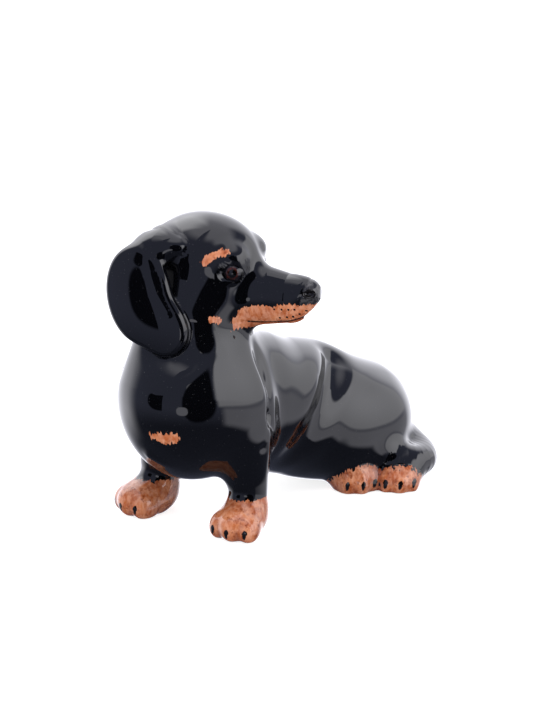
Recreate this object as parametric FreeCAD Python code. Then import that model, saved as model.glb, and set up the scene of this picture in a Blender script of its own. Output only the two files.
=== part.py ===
import FreeCAD, Part
import math
import os

# A glazed ceramic dachshund, sitting on its haunches with its head turned over its left shoulder.
# Millimetres. While it is modelled, +X is the dog's left, +Y its rump, +Z up, and the table is z = 0.
# At the end the whole dog is moved so that the middle of its footprint is the origin.
#
# The castings are described by smooth masses: an egg has a middle and half sizes, and a limb is a
# round bar between two balls. A casting's skin is solved along rays from a path inside its masses, so
# each section is a closed curve, and a loft through the sections is the solid.

# --- driving dimensions: trunk casting ---
wall = 4.0                 # thickness of the slip-cast shell
breast_back = -1.0         # middle of the chest along Y
chest_half = (29.0, 27.0, 32.0)
chest_height = 56.0        # middle of the chest above the table
shoulder_half = (12.0, 15.0, 24.0)
shoulder_spread = 22.0     # from the middle line to the middle of a shoulder
shoulder_height = 52.0
left_shoulder_back = 10.0  # the turned head carries the left shoulder back
right_shoulder_back = 4.0
ribs_half = (28.0, 40.0, 33.0)
ribs_back = 34.0           # middle of the ribs along Y
ribs_height = 51.0
loin_half = (26.0, 36.0, 32.0)
loin_back = 70.0
loin_height = 41.0
rump_half = (31.0, 38.0, 30.0)
rump_back = 102.0
rump_height = 28.0
rump_lean = 4.0            # the rump leans to the dog's left, where its hind feet lie
thigh_half = (16.0, 27.0, 23.0)
thigh_spread = 16.0        # from the rump's middle to the middle of a thigh
left_thigh_height = 24.0
right_thigh_height = 20.0
withers_half = (22.0, 26.0, 21.0)
withers_back = 26.0
withers_height = 66.0
neck_radius = 24.5
neck_root_radius = 28.0
neck_lean = (-2.0, 5.0)    # middle of the neck's top from the middle line, in X and Y
seam_height = 94.0         # where the head casting is luted to the neck
vent_radius = 3.5          # hole that drains the slip and lets the kiln's gases out
vent_ahead = 8.0           # from the middle of the rump forward to the vent

# --- driving dimensions: head casting ---
skull_offset = (5.0, 7.0, 31.0)    # middle of the skull from the middle of the neck's top
head_yaw = 108.0               # turn of the head from straight ahead, towards the dog's left
skull_half = (26.0, 21.0, 20.0)
skull_back = 4.0           # middle of the skull's egg behind the head's own middle
jaw_half = (19.0, 18.0, 17.0)
jaw_drop = 12.0
jaw_forward = 3.0
muzzle_start = 19.0        # where the muzzle leaves the cheeks
muzzle_root = 14.6         # half height of the muzzle where it leaves the cheeks
muzzle_tip = 11.2          # half height behind the nose
muzzle_narrow = 1.35       # height of the muzzle over its width
muzzle_length = 37.0       # from the middle of the skull to the back of the nose
muzzle_drop = 15.0
nose_half = (7.5, 9.0, 7.6)
nose_ahead = 7.5           # middle of the nose ahead of the muzzle's end
nose_drop = 13.3
brow_half = (8.0, 7.0, 7.0)
brow_spread = 10.5
brow_forward = 13.0
brow_rise = 2.5
throat_forward = 23.0      # where the throat meets the underside of the jaw

# --- driving dimensions: ears, limbs, tail and eyes ---
ear_half = (19.0, 5.5, 25.5)
ear_back = 19.8
ear_stand = 5.0            # middle of an ear's blade out from the widest part of the skull
ear_drop = 14.0
ear_sweep = 17.0           # degrees that the ear's lower end swings forward
ear_splay = 10.0           # degrees that it stands off the cheek
ear_root_half = (13.0, 8.0, 7.0)
ear_root_back = 16.0
ear_root_sink = 4.0        # middle of an ear's root in from the widest part of the skull
ear_root_rise = 7.0
leg_radius = 10.5
ankle_radius = 8.7
ankle_height = 14.0
leg_top = 46.0             # where the leg ends inside the shoulder
left_leg_offset = (1.0, 2.5)       # leg from the middle of its shoulder, outwards and back
right_leg_offset = (4.5, 2.5)
paw_half = (11.0, 14.5, 9.0)
paw_rise = 7.0             # middle of a front paw above the table
paw_reach = 6.0            # how far a front paw's middle is ahead of its leg
left_paw_turn = 15.0
right_paw_turn = -10.0
left_hind_paw_offset = (-13.0, -52.5)  # from the rump's left side and its back end
left_hind_paw_half = (11.5, 13.0, 11.5)
right_hind_paw_offset = (3.0, -37.0)
right_hind_paw_half = (10.0, 12.5, 9.5)
hind_paw_turn = 45.0
hind_paw_rise = 7.0        # middle of a hind paw above the table
tail_root_radius = 12.0
tail_tip_radius = 3.5
# from the rump's left side and its back end, and above the table
tail_path = ((-31.0, -16.0, 14.0), (-18.0, -11.0, 12.5), (-6.0, -12.0, 11.0), (3.0, -19.0, 10.5),
             (6.5, -28.0, 12.5), (3.0, -37.0, 16.5), (-3.5, -44.0, 19.5))
eye_radius = 4.6
eye_depth = 3.0            # how far the eye's clay pellet is pressed in
eye_sink = 2.6             # middle of the eye's ball below the skin
eye_forward = 15.0
eye_rise = -0.5

# --- how widely the crease between two masses is filled ---
FLOWING = 14.0
SOFT = 8.0
CRISP = 5.0

# --- how finely a skin is solved ---
RAYS = 28                  # points round a section
STEP = 2.5                 # coarse step along a ray
HALVINGS = 12              # how often the last step is halved
FITTING_ROUNDS = 6         # how often the poles are moved towards the points
SEAT_TOLERANCE = 0.001     # how closely two luted faces meet
TIP_ANGLE = 84.0           # degrees of a quarter circle that the slices cover before the tip


# --- places that follow from the sizes ---
neck_top = (neck_lean[0], neck_lean[1], seam_height)
head_at = tuple(a + b for a, b in zip(neck_top, skull_offset))
nose_reach = muzzle_length + nose_ahead
ear_spread = skull_half[1] + ear_stand
ear_root_spread = skull_half[1] - ear_root_sink
left_leg_at = (shoulder_spread + left_leg_offset[0], left_shoulder_back + left_leg_offset[1])
right_leg_at = (-shoulder_spread - right_leg_offset[0], right_shoulder_back + right_leg_offset[1])
rump_corner = (rump_lean + rump_half[0], rump_back + rump_half[1])


def by_rump(offset):
    """A place given from the rump's left side and its back end."""
    return (rump_corner[0] + offset[0], rump_corner[1] + offset[1]) + tuple(offset[2:])


# --- vectors as plain triples ---
def add(a, b, k=1.0):
    return (a[0] + k * b[0], a[1] + k * b[1], a[2] + k * b[2])


def dot(a, b):
    return a[0] * b[0] + a[1] * b[1] + a[2] * b[2]


def scaled(a, k):
    return (a[0] * k, a[1] * k, a[2] * k)


def cross(a, b):
    return (a[1] * b[2] - a[2] * b[1], a[2] * b[0] - a[0] * b[2], a[0] * b[1] - a[1] * b[0])


def length(a):
    return math.sqrt(dot(a, a))


def unit(a):
    return scaled(a, 1.0 / length(a))


def polar(degrees):
    t = math.radians(degrees)
    return math.cos(t), math.sin(t)


def turned(v, degrees):
    """v turned about the upright axis."""
    c, s = polar(degrees)
    return (c * v[0] - s * v[1], s * v[0] + c * v[1], v[2])


# --- masses: each gives a distance, negative inside ---
def egg(p, middle, half, turn=0.0):
    q = turned(add(p, middle, -1.0), -turn)
    u = (q[0] / half[0], q[1] / half[1], q[2] / half[2])
    v = (u[0] / half[0], u[1] / half[1], u[2] / half[2])
    ring = max(length(u), 1e-6)
    return ring * (ring - 1.0) / max(length(v), 1e-9)


def bar(p, a, b, ra, rb):
    """A round bar from ball a to ball b, tapering evenly between them."""
    along = add(b, a, -1.0)
    t = min(1.0, max(0.0, dot(add(p, a, -1.0), along) / dot(along, along)))
    return length(add(p, add(a, along, t), -1.0)) - (ra + (rb - ra) * t)


def blend(a, b, reach):
    """The union of two masses with their crease filled over the given reach."""
    gap = max(reach - abs(a - b), 0.0) / reach
    return min(a, b) - gap * gap * reach / 4.0


def trunk(p):
    d = egg(p, (0.0, breast_back, chest_height), chest_half)
    d = blend(d, egg(p, (0.0, ribs_back, ribs_height), ribs_half), FLOWING)
    d = blend(d, egg(p, (0.0, loin_back, loin_height), loin_half), FLOWING)
    d = blend(d, egg(p, (rump_lean, rump_back, rump_height), rump_half), SOFT)
    for side, height in ((1, left_thigh_height), (-1, right_thigh_height)):
        d = blend(d, egg(p, (rump_lean + side * thigh_spread, rump_back, height), thigh_half), SOFT)
    for side, back in ((1, left_shoulder_back), (-1, right_shoulder_back)):
        d = blend(d, egg(p, (side * shoulder_spread, back, shoulder_height), shoulder_half), SOFT)
    d = blend(d, egg(p, (0.0, withers_back, withers_height), withers_half), FLOWING)
    neck = bar(p, (0.0, breast_back, withers_height), neck_top, neck_root_radius, neck_radius)
    return blend(d, neck, FLOWING)


# --- the head has its own axes: forward, to its left, and up, from the middle of the skull ---
FORWARD = turned((0.0, -1.0, 0.0), head_yaw)
LEFT = turned((1.0, 0.0, 0.0), head_yaw)
UP = (0.0, 0.0, 1.0)


def to_head(p):
    q = add(p, head_at, -1.0)
    return (dot(q, FORWARD), dot(q, LEFT), q[2])


def from_head(q):
    return add(add(add(head_at, FORWARD, q[0]), LEFT, q[1]), UP, q[2])


def head_mass(p):
    q = to_head(p)
    d = egg(q, (-skull_back, 0.0, 0.0), skull_half)
    d = blend(d, egg(q, (jaw_forward, 0.0, -jaw_drop), jaw_half), SOFT)
    slim = (q[0], q[1] * muzzle_narrow, q[2])
    back, front = (muzzle_start, 0.0, -muzzle_drop), (muzzle_length, 0.0, -muzzle_drop)
    muzzle = bar(slim, back, front, muzzle_root, muzzle_tip)
    muzzle = blend(muzzle, egg(slim, (nose_reach, 0.0, -nose_drop), nose_half), CRISP)
    d = blend(d, muzzle, CRISP)
    for side in (1, -1):
        d = blend(d, egg(q, (brow_forward, side * brow_spread, brow_rise), brow_half), CRISP)
    return d


def skin(p):
    """Trunk and head together, so that both castings meet the seam on one curve."""
    return blend(trunk(p), head_mass(p), SOFT)


def ear_axes(side):
    """The ear's own axes in the head's: forward across the blade, out through it, and up along it."""
    c, s = polar(ear_sweep)
    forward, up, out = (c, 0.0, s), (-s, 0.0, c), (0.0, side, 0.0)
    c, s = polar(ear_splay)
    return forward, add(scaled(out, c), up, s), add(scaled(up, c), out, -s)


def ear_mass(p, side):
    q = to_head(p)
    rel = add(q, (-ear_back, side * ear_spread, -ear_drop), -1.0)
    blade = egg(tuple(dot(rel, axis) for axis in ear_axes(side)), (0.0, 0.0, 0.0), ear_half)
    root = egg(q, (-ear_root_back, side * ear_root_spread, ear_root_rise), ear_root_half)
    return blend(blade, root, SOFT)


def foreleg_mass(p, foot, turn):
    top = (foot[0], foot[1], leg_top)
    leg = bar(p, top, (foot[0], foot[1], ankle_height), leg_radius, ankle_radius)
    reach = turned((0.0, -paw_reach, 0.0), turn)
    paw = egg(p, add((foot[0], foot[1], paw_rise), reach), paw_half, turn)
    return blend(leg, paw, CRISP)


# --- sections and surfaces ---
def surface_point(mass, start, direction, level=0.0):
    """The first place along a ray where the mass reaches the level."""
    r = 0.0
    while mass(add(start, direction, r + STEP)) < level:
        r += STEP
    step = STEP
    for _ in range(HALVINGS):
        step /= 2.0
        if mass(add(start, direction, r + step)) < level:
            r += step
    return add(start, direction, r)


def section(mass, middle, side, rise, level=0.0):
    """A closed ring of points on the mass, in the plane of the side and rise directions."""
    ring = []
    for i in range(RAYS):
        c, s = polar(360.0 * i / RAYS)
        ring.append(surface_point(mass, middle, add(scaled(side, c), rise, s), level))
    return ring


def clamped_knots(count):
    """Knots and multiplicities of an open cubic with this many poles."""
    spans = count - 3
    return [float(i) for i in range(spans + 1)], [4] + [1] * (spans - 1) + [4]


def smooth_surface(rings):
    """A cubic surface closed round the rings, its poles moved until it passes through their points."""
    around = len(rings[0])
    target = [[FreeCAD.Vector(*p) for p in ring] for ring in rings]
    poles = [list(ring) for ring in target]
    knots, mults = clamped_knots(len(rings))
    flat = [k for k, m in zip(knots, mults) for _ in range(m)]
    stops = [sum(flat[i + 1:i + 4]) / 3.0 for i in range(len(rings))]
    ring_knots = [float(i) for i in range(around + 1)]
    surface = Part.BSplineSurface()
    for _ in range(FITTING_ROUNDS):
        surface.buildFromPolesMultsKnots(poles, mults, [1] * (around + 1), knots, ring_knots,
                                         False, True, 3, 3)
        for row, goal, u in zip(poles, target, stops):
            for j in range(around):
                row[j] = row[j] + goal[j] - surface.value(u, (j - 1) % around)
    surface.buildFromPolesMultsKnots(poles, mults, [1] * (around + 1), knots, ring_knots,
                                     False, True, 3, 3)
    return surface


def solid_through(rings, tip=None):
    """A closed solid through the rings, ending at the tip or flat at each open end."""
    if tip is not None:
        rings = rings + [[tip] * RAYS]
    skin_face = smooth_surface(rings).toShape()
    ends = [edge for edge in skin_face.Edges if edge.isClosed() and not edge.Degenerated]
    rims = [edge for edge in ends if not edge.isSeam(skin_face)]
    shell = Part.makeShell([skin_face] + [Part.Face(Part.Wire([edge])) for edge in rims])
    if rims:
        shell.sewShape()
    solid = Part.makeSolid(shell)
    if solid.Volume < 0:
        solid.reverse()
    return solid


def above(shape, height):
    """What is left of a shape above a level."""
    box = shape.BoundBox
    depth = height - box.ZMin + 1.0
    if depth <= 1.0:
        return shape
    slab = Part.makeBox(box.XLength + 10.0, box.YLength + 10.0, depth,
                        FreeCAD.Vector(box.XMin - 5.0, box.YMin - 5.0, box.ZMin - 1.0))
    return shape.cut(slab)


def tip_shares(count):
    """Shares of a run whose slices close up towards its rounded end."""
    return [math.sin(math.radians(TIP_ANGLE * (i + 1) / count)) for i in range(count)]


# --- castings ---
FAN = (0.0, 12.0, 25.0, 38.0, 51.0, 64.0, 77.0, 90.0)


def trunk_stations(level):
    """Middles and radial directions: a fan round the withers, then upright slices to the rump."""
    hinge = (0.0, withers_back + 20.0, seam_height)
    stations = []
    for degrees in FAN:
        c, s = polar(degrees)
        out = (0.0, -c, -s)
        stations.append((add(hinge, out, 46.0 - 6.0 * s), out))
    run = surface_point(skin, (2.0, rump_back, rump_height), (0.0, 1.0, 0.0), level)[1] - hinge[1]
    for share in tip_shares(11):
        middle = (2.0 * share, hinge[1] + run * share, ribs_height + (rump_height - ribs_height) * share)
        stations.append((middle, (0.0, 0.0, -1.0)))
    return stations


def trunk_solid(level):
    stations = trunk_stations(level)
    rings = [section(skin, middle, (1.0, 0.0, 0.0), out, level) for middle, out in stations]
    return solid_through(rings, surface_point(skin, stations[-1][0], (0.0, 1.0, 0.0), level))


def head_stations(level):
    """A fan round the throat, from the seam to upright, then slices along the muzzle."""
    throat = (throat_forward, 0.0, seam_height - head_at[2])
    stations = []
    for degrees in FAN:
        c, s = polar(degrees)
        middle = add(throat, (-c, 0.0, s), 29.0 - 13.0 * s)
        stations.append((from_head(add(middle, (0.0, -6.0 * c, 0.0))), add(scaled(FORWARD, -c), UP, s)))
    nose = surface_point(skin, from_head((muzzle_length, 0.0, -nose_drop)), FORWARD, level)
    run = to_head(nose)[0] - throat[0]
    for share in tip_shares(11):
        stations.append((from_head((throat[0] + run * share, 0.0, -nose_drop)), UP))
    return stations


def head_solid(level):
    stations = head_stations(level)
    rings = [section(skin, middle, LEFT, out, level) for middle, out in stations]
    return solid_through(rings, surface_point(skin, stations[-1][0], FORWARD, level))


def ear_solid(side):
    """Level slices from the hanging tip up to the root."""
    forward, out, up = ear_axes(side)
    middle = (-ear_back, side * ear_spread, -ear_drop)
    root = (-ear_root_back, side * ear_root_spread, ear_root_rise)
    bottom = add(middle, up, -ear_half[2] + 0.4)
    shoulder = add(middle, up, ear_half[2] * 0.55)
    path = []
    for i in range(12):
        share = math.sin(math.radians(90.0 * i / 11.0))
        path.append(add(bottom, add(shoulder, bottom, -1.0), share * share))
    for i in range(1, 4):
        path.append(add(shoulder, add(root, shoulder, -1.0), i / 3.0))
    for share in (0.7, 0.95):
        path.append(add(root, (0.0, 0.0, ear_root_half[2] * share)))

    def mass(p):
        return ear_mass(p, side)

    rings = [section(mass, from_head(q), LEFT, FORWARD) for q in path]
    return solid_through(rings)


def foreleg_solid(foot, turn):
    def mass(p):
        return foreleg_mass(p, foot, turn)

    reach = turned((0.0, -paw_reach, 0.0), turn)
    rings = []
    paw_levels = (0.0, 2.0, 4.5, 7.0, 9.5, 12.0, 15.0, 19.0)
    leg_levels = (leg_top - 21.0, leg_top - 14.0, leg_top - 6.0, leg_top + 2.0)
    for z in paw_levels + leg_levels:
        share = max(0.0, 1.0 - z / ankle_height)
        middle = add((foot[0], foot[1], z), reach, share)
        rings.append(section(mass, middle, (1.0, 0.0, 0.0), (0.0, 1.0, 0.0)))
    return solid_through(rings)


def hind_paw_solid(at, half):
    middle = (at[0], at[1], hind_paw_rise)

    def mass(p):
        return egg(p, middle, half, hind_paw_turn)

    top = hind_paw_rise + half[2]
    rings = []
    for i in range(8):
        z = (top - 0.5) * math.sin(math.radians(90.0 * i / 7.0))
        rings.append(section(mass, (at[0], at[1], z), (1.0, 0.0, 0.0), (0.0, 1.0, 0.0)))
    return solid_through(rings, (at[0], at[1], top))


def tail_solid():
    """Round slices square to the tail's path, tapering to its tip."""
    path = [by_rump(offset) for offset in tail_path]
    last = len(path) - 1
    rings = []
    for i, middle in enumerate(path):
        along = unit(add(path[min(i + 1, last)], path[max(i - 1, 0)], -1.0))
        side = unit(cross(along, UP))
        rise = cross(side, along)
        radius = tail_root_radius + (tail_tip_radius - tail_root_radius) * (i / last) ** 1.5
        rings.append([add(add(middle, side, radius * c), rise, radius * s)
                      for c, s in (polar(360.0 * j / RAYS) for j in range(RAYS))])
    return solid_through(rings, add(path[-1], along, tail_tip_radius))


def eye_solid(side):
    """A clay pellet with a domed front and a flat back, pressed into a socket."""
    look = unit(add(scaled(LEFT, side), FORWARD, 0.35))
    start = from_head((eye_forward - 5.0, side * 5.0, eye_rise))
    surface = surface_point(skin, start, look)
    ball = Part.makeSphere(eye_radius, FreeCAD.Vector(*add(surface, look, -eye_sink)))
    back = FreeCAD.Vector(*add(surface, look, -eye_depth))
    return ball.common(Part.makeCylinder(2.0 * eye_radius, 4.0 * eye_radius, back, FreeCAD.Vector(*look)))


def vent():
    """The hole in the sole through which the hollow casting was drained."""
    foot = FreeCAD.Vector(rump_lean, rump_back - vent_ahead, -1.0)
    return Part.makeCylinder(vent_radius, 3.0 * wall, foot, FreeCAD.Vector(0.0, 0.0, 1.0))


# --- the assembly ---
def fettled(shape, *neighbours):
    """A piece trimmed to the pieces it is luted to, so that they meet face to face."""
    return shape.cut(list(neighbours), SEAT_TOLERANCE)


def build():
    trunk_full = above(trunk_solid(0.0), 0.0)
    head_full = head_solid(0.0)
    eyes = {"left_eye": eye_solid(1), "right_eye": eye_solid(-1)}
    left_hind_paw = hind_paw_solid(by_rump(left_hind_paw_offset), left_hind_paw_half)
    right_hind_paw = hind_paw_solid(by_rump(right_hind_paw_offset), right_hind_paw_half)
    tail = above(tail_solid(), 0.0)
    parts = {
        "trunk": fettled(trunk_full, above(trunk_solid(-wall), wall), vent()),
        "head": fettled(head_full, head_solid(-wall), *eyes.values()),
        "left_ear": fettled(ear_solid(1), head_full, trunk_full),
        "right_ear": fettled(ear_solid(-1), head_full, trunk_full),
        "left_foreleg": fettled(foreleg_solid(left_leg_at, left_paw_turn), trunk_full),
        "right_foreleg": fettled(foreleg_solid(right_leg_at, right_paw_turn), trunk_full),
        "left_hind_paw": fettled(left_hind_paw, trunk_full, tail),
        "right_hind_paw": fettled(right_hind_paw, trunk_full, left_hind_paw, tail),
        "tail": fettled(tail, trunk_full),
    }
    parts.update(eyes)
    return parts


def footprint_middle(parts):
    """The middle of the dog's outline from above, measured on its skin."""
    points = [p for shape in parts.values() for p in shape.tessellate(0.2)[0]]
    xs, ys = [p.x for p in points], [p.y for p in points]
    return FreeCAD.Vector((min(xs) + max(xs)) / 2.0, (min(ys) + max(ys)) / 2.0, 0.0)


def main():
    parts = build()
    middle = footprint_middle(parts)
    os.makedirs("parts", exist_ok=True)
    for name, shape in parts.items():
        shape.translate(middle * -1.0)
        shape.exportStep("parts/" + name + ".step")
        print(name, shape.isValid(), len(shape.Solids), round(shape.Volume), "mm3")
    print("moved by", middle * -1.0)


main()
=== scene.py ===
import math
import bpy
import numpy as np
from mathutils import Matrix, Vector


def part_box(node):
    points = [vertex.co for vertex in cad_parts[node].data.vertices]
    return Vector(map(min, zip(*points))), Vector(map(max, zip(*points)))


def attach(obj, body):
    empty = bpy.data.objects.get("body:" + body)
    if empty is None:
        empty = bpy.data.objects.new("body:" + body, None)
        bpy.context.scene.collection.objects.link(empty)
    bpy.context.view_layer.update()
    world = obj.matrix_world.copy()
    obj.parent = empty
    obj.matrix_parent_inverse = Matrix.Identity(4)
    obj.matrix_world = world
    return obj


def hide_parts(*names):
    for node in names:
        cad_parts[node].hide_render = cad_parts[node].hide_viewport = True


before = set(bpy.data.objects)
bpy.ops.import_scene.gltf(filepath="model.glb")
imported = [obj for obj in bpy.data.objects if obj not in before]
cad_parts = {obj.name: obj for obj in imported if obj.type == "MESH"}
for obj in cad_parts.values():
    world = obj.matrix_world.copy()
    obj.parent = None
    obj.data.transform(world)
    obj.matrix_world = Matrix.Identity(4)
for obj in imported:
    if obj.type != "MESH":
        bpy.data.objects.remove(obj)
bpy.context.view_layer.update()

MM = 0.001


# --- Table top, studio and camera ---------------------------------------------------------------
# The figurine stands on a plain white table under a wide overhead lamp. The painted room is seen only
# by the glaze: a pale sweep behind the dog and at its right, soft boxes at its left, and a dim near side.
def node(tree, kind, **inputs):
    """A shader node with constant values set on its inputs; a node's socket is linked instead."""
    made = tree.nodes.new(kind)
    for name, value in inputs.items():
        socket = made.inputs[int(name[1:])] if name[0] == "_" else made.inputs[name.replace("_", " ")]
        if isinstance(value, bpy.types.NodeSocket):
            tree.links.new(value, socket)
        else:
            socket.default_value = value
    return made


def maths(tree, operation, *values):
    """One arithmetic node on numbers or sockets."""
    made = node(tree, "ShaderNodeMath", **{f"_{i}": v for i, v in enumerate(values)})
    made.operation = operation
    return made.outputs[0]


def ramp_between(tree, value, low, high):
    """0 below low and 1 above high, with a smooth change between."""
    made = node(tree, "ShaderNodeMapRange", _0=value, _1=low, _2=high)
    made.interpolation_type = "SMOOTHSTEP"
    return made.outputs[0]


def mixed(tree, share, first, second):
    """A colour between two colours."""
    made = tree.nodes.new("ShaderNodeMix")
    made.data_type = "RGBA"
    for socket, value in ((made.inputs[0], share), (made.inputs[6], first), (made.inputs[7], second)):
        if isinstance(value, bpy.types.NodeSocket):
            tree.links.new(value, socket)
        else:
            socket.default_value = value
    return made.outputs[2]


def plane(name, half, height):
    """A square sheet, its corners at plus and minus half."""
    mesh = bpy.data.meshes.new(name)
    mesh.from_pydata([(-half, -half, height), (half, -half, height), (half, half, height),
                      (-half, half, height)], [], [(0, 1, 2, 3)])
    sheet = bpy.data.objects.new(name, mesh)
    bpy.context.scene.collection.objects.link(sheet)
    return sheet


table = plane("table_top", 9.0, -0.0001)
table.visible_glossy = False
white = bpy.data.materials.new("white_table")
white.use_nodes = True
tree = white.node_tree
tree.nodes.clear()
rays = tree.nodes.new("ShaderNodeLightPath")
chalk = node(tree, "ShaderNodeBsdfDiffuse", Color=(0.82, 0.82, 0.83, 1.0))
glow = node(tree, "ShaderNodeEmission", Color=(1.0, 1.0, 1.0, 1.0),
            Strength=maths(tree, "MULTIPLY", rays.outputs["Is Camera Ray"], 0.8))
lit = node(tree, "ShaderNodeAddShader", _0=chalk.outputs[0], _1=glow.outputs[0])
node(tree, "ShaderNodeOutputMaterial", Surface=lit.outputs[0])
table.data.materials.append(white)

studio = bpy.data.worlds.new("studio")
bpy.context.scene.world = studio
studio.use_nodes = True
studio.cycles.sampling_method = "NONE"
tree = studio.node_tree
tree.nodes.clear()
ray = node(tree, "ShaderNodeSeparateXYZ", _0=tree.nodes.new("ShaderNodeTexCoord").outputs["Generated"])
turn = maths(tree, "ARCTAN2", ray.outputs[0], maths(tree, "MULTIPLY", ray.outputs[1], -1.0))
turn = maths(tree, "MULTIPLY", turn, 180.0 / math.pi)
turn = maths(tree, "ADD", turn, maths(tree, "MULTIPLY", maths(tree, "LESS_THAN", turn, 0.0), 360.0))
rise = maths(tree, "MULTIPLY", maths(tree, "ARCSINE", ray.outputs[2]), 180.0 / math.pi)


def panel(turns, rises, edge):
    """A soft-edged lamp or card in the room, between two bearings and two elevations in degrees."""
    share = None
    for value, (low, high) in ((turn, turns), (rise, rises)):
        for part in (ramp_between(tree, value, low - edge, low + edge),
                     maths(tree, "SUBTRACT", 1.0, ramp_between(tree, value, high - edge, high + edge))):
            share = part if share is None else maths(tree, "MULTIPLY", share, part)
    return share


def round_panel(bearing, elevation, wide, high, edge):
    """A lamp or card with a rounded outline, its edge softened by a share of its size."""
    across = maths(tree, "DIVIDE", maths(tree, "SUBTRACT", turn, bearing), wide)
    upward = maths(tree, "DIVIDE", maths(tree, "SUBTRACT", rise, elevation), high)
    way = maths(tree, "SQRT", maths(tree, "ADD", maths(tree, "POWER", maths(tree, "ABSOLUTE", across), 2.6),
                                    maths(tree, "POWER", maths(tree, "ABSOLUTE", upward), 2.6)))
    return maths(tree, "SUBTRACT", 1.0, ramp_between(tree, way, 1.0 - edge, 1.0 + edge))


ROOM, LOW_ROOM, UNLIT = (0.36, 0.39, 0.56, 1.0), (0.10, 0.11, 0.16, 1.0), (0.0, 0.0, 0.0, 1.0)
ROOM_PANELS = (
    # bearings, elevations, softness of the edge, radiance, and whether it fades
    ((172.0, 300.0), (-30.0, 100.0), 14.0, (2.4, 2.4, 2.6), False),   # pale sweep behind and at its right
    ((20.0, 372.0), (58.0, 100.0), 10.0, (1.8, 1.8, 2.0), False),     # ceiling
    ((230.0, 298.0), (28.0, 72.0), 12.0, (4.4, 4.4, 4.6), False),     # high lamp at the dog's right
    ((84.0, 172.0), (-3.5, 33.0), 2.5, (3.3, 3.3, 3.5), True),        # soft boxes
    ((88.0, 172.0), (-26.0, -5.0), 4.0, (2.1, 2.1, 2.35), True),      # and their reflection in the table
)
ROUND_PANELS = (
    # bearing, elevation, half width, half height, softness, radiance
    (45.0, 29.5, 9.0, 4.0, 0.15, (2.0, 2.0, 2.2)),               # small lamp over the camera
    (57.0, 7.0, 25.0, 30.0, 0.10, (0.0, 0.0, 0.0)),              # camera and its black cloth
    (32.0, -8.0, 9.0, 6.0, 0.15, (1.7, 1.7, 1.9)),               # white card below the camera
    (354.0, 3.0, 19.0, 13.0, 0.10, (0.0, 0.0, 0.0)),             # black card at the dog's right
)
# the room is darker below the table's edge, and the soft boxes fade downwards and towards the tail
seen = mixed(tree, ramp_between(tree, rise, -32.0, -4.0), LOW_ROOM, ROOM)
by_height = maths(tree, "ADD", 0.70, maths(tree, "MULTIPLY", ramp_between(tree, rise, -14.0, 33.0), 0.38))
by_turn = maths(tree, "MULTIPLY", ramp_between(tree, turn, 112.0, 172.0), 0.40)
fade = maths(tree, "MULTIPLY", by_height, maths(tree, "SUBTRACT", 1.0, by_turn))
for turns, rises, edge, radiance, fades in ROOM_PANELS:
    lit = radiance + (1.0,)
    if fades:
        lit = mixed(tree, fade, UNLIT, lit)
    seen = mixed(tree, panel(turns, rises, edge), seen, lit)
for bearing, elevation, wide, high, edge, radiance in ROUND_PANELS:
    seen = mixed(tree, round_panel(bearing, elevation, wide, high, edge), seen, radiance + (1.0,))
rays = tree.nodes.new("ShaderNodeLightPath")
shown = mixed(tree, rays.outputs["Is Glossy Ray"], (0.95, 0.95, 0.97, 1.0), seen)
node(tree, "ShaderNodeOutputWorld", Surface=node(tree, "ShaderNodeBackground", Color=shown).outputs[0])

overhead = bpy.data.lights.new("overhead", "AREA")
overhead.shape = "RECTANGLE"
overhead.size, overhead.size_y = 0.9, 0.9
overhead.energy = 9.0
lamp = bpy.data.objects.new("overhead", overhead)
lamp.location = (0.25, -0.35, 1.1)
lamp.rotation_euler = (math.radians(18.0), math.radians(13.0), 0.0)
lamp.visible_glossy = False
lamp.visible_camera = False
bpy.context.scene.collection.objects.link(lamp)

bpy.context.scene.view_settings.view_transform = "Standard"
camera = bpy.data.cameras.new("camera")
camera.lens, camera.sensor_width, camera.sensor_fit = 99.5, 36.0, "AUTO"
camera.clip_start, camera.clip_end = 0.05, 30.0
bearing, elevation, distance = math.radians(42.0), math.radians(16.5), 0.9
aim = np.array([0.00513, -0.01545, 0.0748])
back = np.array([math.sin(bearing) * math.cos(elevation), -math.cos(bearing) * math.cos(elevation),
                 math.sin(elevation)])
tripod = bpy.data.objects.new("camera", camera)
tripod.location = aim + distance * back
tripod.rotation_euler = (math.pi / 2 - elevation, 0.0, bearing)
bpy.context.scene.collection.objects.link(tripod)
bpy.context.scene.camera = tripod


# --- The modeller's original --------------------------------------------------------------------
# The figurine is carved once as a clay original, and plaster moulds are taken from it. Its surface is
# a set of smooth masses blended together, and every casting below takes its skin from this one shape.
# Millimetres on the original's own axes: +X the dog's left, +Y its rump, +Z up, table at z = 0.
low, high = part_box("trunk")
TRUNK_MIDDLE = np.array([1.3, 54.2, 0.0])      # middle of the trunk on the original's own axes
SHIFT = np.array([(low[0] + high[0]) / 2, (low[1] + high[1]) / 2, 0.0]) / MM - TRUNK_MIDDLE
FAR = 40.0                                     # the distance given where a mass isn't worked out


def egg(p, middle, half):
    """Distance to an egg: with u the point over the half sizes, |u| (|u| - 1) over |u / half sizes|."""
    u = (p - middle) / half
    v = u / half
    ring = np.sqrt(np.einsum("ij,ij->i", u, u))
    return ring * (ring - 1.0) / np.maximum(np.sqrt(np.einsum("ij,ij->i", v, v)), 1e-9)


def bar(p, a, b, ra, rb):
    """Distance to a round bar that tapers from a ball at a to a ball at b."""
    a = np.asarray(a, float)
    along = np.asarray(b, float) - a
    t = np.clip((p - a) @ along / (along @ along), 0.0, 1.0)
    q = p - a - t[:, None] * along
    return np.sqrt(np.einsum("ij,ij->i", q, q)) - (ra + (rb - ra) * t)


def run(p, points, radius=0.0):
    """Distance to a line through the points, less the radius: the least over its straight parts."""
    return np.min([bar(p, a, b, radius, radius) for a, b in zip(points, points[1:])], axis=0)


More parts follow.
